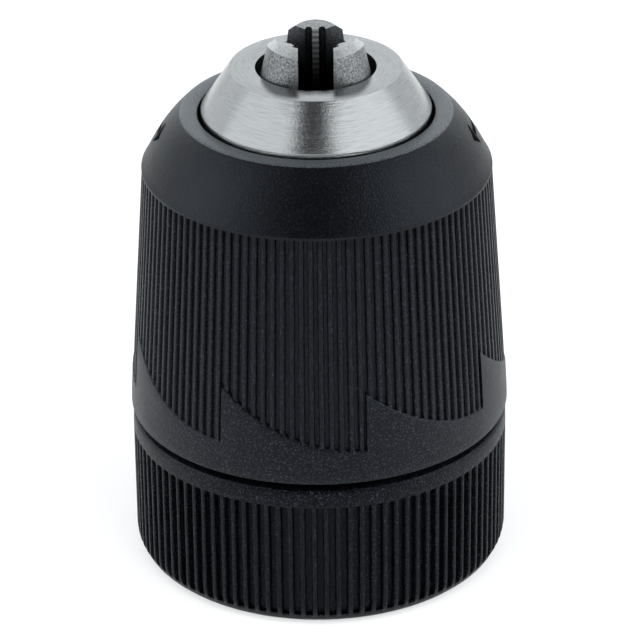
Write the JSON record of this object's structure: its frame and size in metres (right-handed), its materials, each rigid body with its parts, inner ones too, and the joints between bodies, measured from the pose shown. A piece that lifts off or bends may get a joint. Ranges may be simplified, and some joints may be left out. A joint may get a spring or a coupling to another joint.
{
  "type": "keyless drill chuck",
  "caption": "Keyless drill chuck with ribbed black sleeves, a steel nose and self-centring gripping jaws that open and close as the front sleeve is turned.",
  "frame": {"origin": "centre of the rear face, on the spindle axis", "axes": "+Z runs along the spindle axis from the rear face to the nose; one jaw lies towards +Y"},
  "size_m": [0.043, 0.043, 0.0628],
  "materials": {
    "body_steel": "turned and satin polished steel",
    "jaw_steel": "ground hardened steel",
    "insert_steel": "plain machined steel",
    "nut_steel": "oiled threaded steel",
    "bearing_steel": "ground hardened washer",
    "ball_steel": "polished bearing ball",
    "spring_steel": "black oiled spring steel",
    "cage_plastic": "natural nylon",
    "black_plastic": "fine grained black moulded plastic"
  },
  "bodies": {
    "body": {"chuck_body": "body_steel", "hub_ring": "insert_steel", "rear_sleeve": "black_plastic", "lower_race": "bearing_steel", "snap_ring": "spring_steel"},
    "sleeve": {"front_sleeve": "black_plastic", "nut_half_a": "nut_steel", "nut_half_b": "nut_steel", "nut_band": "insert_steel", "upper_race": "bearing_steel"},
    "bearing": {"ball_cage": "cage_plastic", "ball_01": "ball_steel", "ball_02": "ball_steel", "ball_03": "ball_steel", "ball_04": "ball_steel", "ball_05": "ball_steel", "ball_06": "ball_steel", "ball_07": "ball_steel", "ball_08": "ball_steel", "ball_09": "ball_steel", "ball_10": "ball_steel", "ball_11": "ball_steel", "ball_12": "ball_steel", "ball_13": "ball_steel", "ball_14": "ball_steel", "ball_15": "ball_steel", "ball_16": "ball_steel", "ball_17": "ball_steel", "ball_18": "ball_steel", "ball_19": "ball_steel", "ball_20": "ball_steel", "ball_21": "ball_steel", "ball_22": "ball_steel", "ball_23": "ball_steel", "ball_24": "ball_steel"},
    "jaw_1": {"jaw_1": "jaw_steel"},
    "jaw_2": {"jaw_2": "jaw_steel"},
    "jaw_3": {"jaw_3": "jaw_steel"}
  },
  "joints": [
    {"name": "sleeve_turn", "type": "hinge", "parent": "body", "child": "sleeve", "pos_m": [0, 0, 0.04], "axis": [0, 0, -1], "range_deg": [-2430, 1494]},
    {"name": "bearing_turn", "type": "hinge", "parent": "body", "child": "bearing", "pos_m": [0, 0, 0.0351], "axis": [0, 0, -1], "range_deg": [-1216, 748]},
    {"name": "jaw_1_slide", "type": "slide", "parent": "body", "child": "jaw_1", "axis": [0, -0.2672, 0.9636], "range_m": [-0.01351, 0.00831]},
    {"name": "jaw_2_slide", "type": "slide", "parent": "body", "child": "jaw_2", "axis": [0.2314, 0.1336, 0.9636], "range_m": [-0.01351, 0.00831]},
    {"name": "jaw_3_slide", "type": "slide", "parent": "body", "child": "jaw_3", "axis": [-0.2314, 0.1336, 0.9636], "range_m": [-0.01351, 0.00831]}
  ],
  "couplings": [
    {"joint": "bearing_turn", "follows": "sleeve_turn", "ratio": 0.5},
    {"joint": "jaw_1_slide", "follows": "sleeve_turn", "m_per_rad": 0.00031831},
    {"joint": "jaw_2_slide", "follows": "sleeve_turn", "m_per_rad": 0.00031831},
    {"joint": "jaw_3_slide", "follows": "sleeve_turn", "m_per_rad": 0.00031831}
  ]
}
